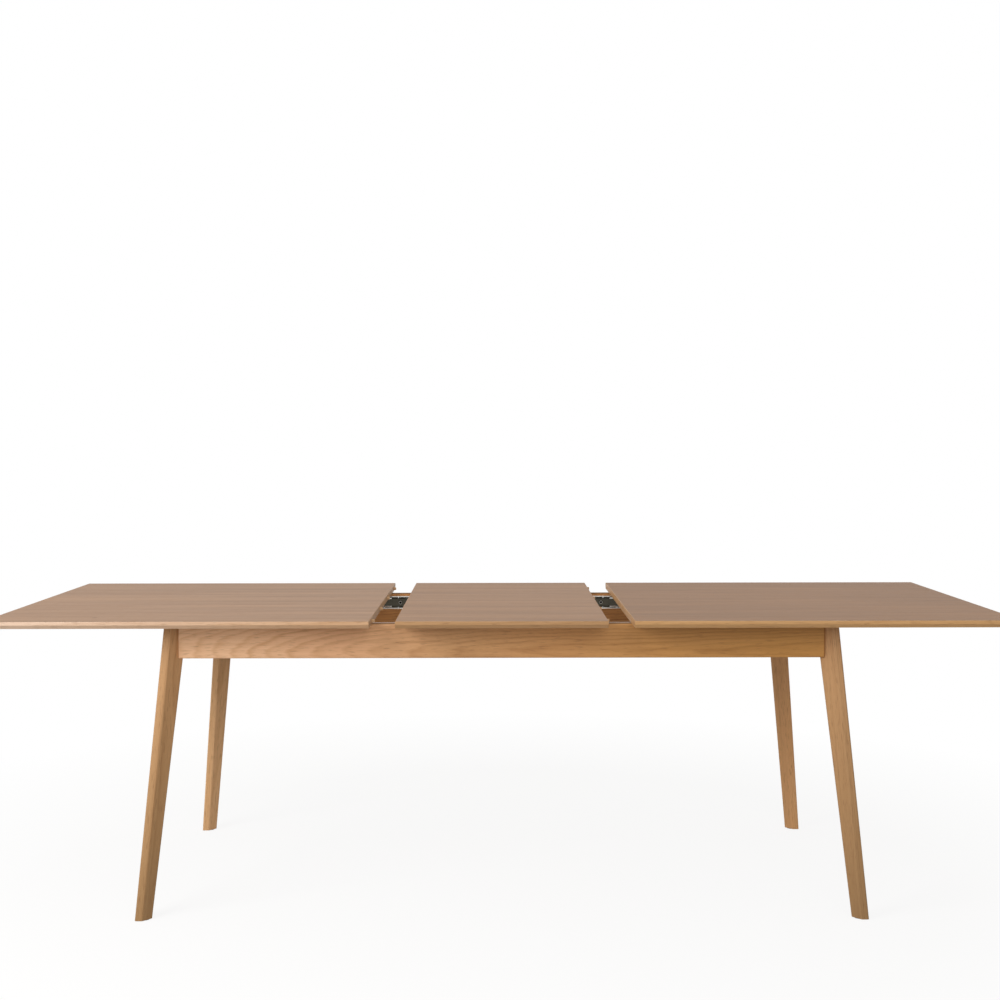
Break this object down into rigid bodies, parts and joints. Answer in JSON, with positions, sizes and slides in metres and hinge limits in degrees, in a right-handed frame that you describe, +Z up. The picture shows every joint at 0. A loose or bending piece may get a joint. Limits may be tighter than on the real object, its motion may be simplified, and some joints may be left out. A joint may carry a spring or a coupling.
{
  "type": "extendable dining table",
  "caption": "Oak dining table drawn open on ball-bearing slides, with a loose leaf between two sliding top halves and four splayed faceted legs.",
  "frame": {"origin": "on the floor under the middle of the table", "axes": "+X along the length to the right, -Y to the front, +Z up"},
  "size_m": [2.538, 0.95, 0.75],
  "materials": {
    "oak_veneer": "matt oiled",
    "solid_oak": "matt oiled",
    "beech": "bare",
    "zinc_steel": "zinc plated",
    "bright_steel": "bright",
    "nylon": "matt"
  },
  "bodies": {
    "frame": {"front_apron": "solid_oak", "back_apron": "solid_oak", "left_end_apron": "solid_oak", "right_end_apron": "solid_oak", "centre_cross_rail": "beech", "leg_front_left": "solid_oak", "leg_front_right": "solid_oak", "leg_back_left": "solid_oak", "leg_back_right": "solid_oak", "corner_bracket_front_left": "zinc_steel", "corner_bracket_front_right": "zinc_steel", "corner_bracket_back_left": "zinc_steel", "corner_bracket_back_right": "zinc_steel", "leg_hanger_bolts": "bright_steel", "leg_bolt_nuts": "bright_steel", "foot_glides": "nylon", "apron_pads": "nylon", "slide_channel_front": "zinc_steel", "slide_channel_back": "zinc_steel", "slide_end_stops": "nylon"},
    "left_half": {"top_half_left": "oak_veneer", "slide_member_front_left": "zinc_steel", "slide_member_back_left": "zinc_steel", "hanger_brackets_left": "zinc_steel", "dowels_left_half": "beech"},
    "right_half": {"top_half_right": "oak_veneer", "slide_member_front_right": "zinc_steel", "slide_member_back_right": "zinc_steel", "hanger_brackets_right": "zinc_steel"},
    "leaf": {"extension_leaf": "oak_veneer", "dowels_leaf": "beech"},
    "left_cages": {"ball_cage_front_left": "zinc_steel", "ball_cage_back_left": "zinc_steel", "slide_balls_front_left": "bright_steel", "slide_balls_back_left": "bright_steel"},
    "right_cages": {"ball_cage_front_right": "zinc_steel", "ball_cage_back_right": "zinc_steel", "slide_balls_front_right": "bright_steel", "slide_balls_back_right": "bright_steel"}
  },
  "joints": [
    {"name": "left_half_slide", "type": "slide", "parent": "frame", "child": "left_half", "axis": [-1, 0, 0], "range_m": [-0.0637, 0.018]},
    {"name": "right_half_slide", "type": "slide", "parent": "frame", "child": "right_half", "axis": [1, 0, 0], "range_m": [-0.0637, 0.018]},
    {"name": "left_cage_slide", "type": "slide", "parent": "frame", "child": "left_cages", "axis": [-1, 0, 0], "range_m": [-0.03185, 0.009]},
    {"name": "right_cage_slide", "type": "slide", "parent": "frame", "child": "right_cages", "axis": [1, 0, 0], "range_m": [-0.03185, 0.009]},
    {"name": "leaf_lift", "type": "slide", "parent": "frame", "child": "leaf", "axis": [0, 0, 1], "range_m": [0, 0.25]}
  ],
  "couplings": [
    {"joint": "left_cage_slide", "follows": "left_half_slide", "ratio": 0.5},
    {"joint": "right_cage_slide", "follows": "right_half_slide", "ratio": 0.5}
  ]
}
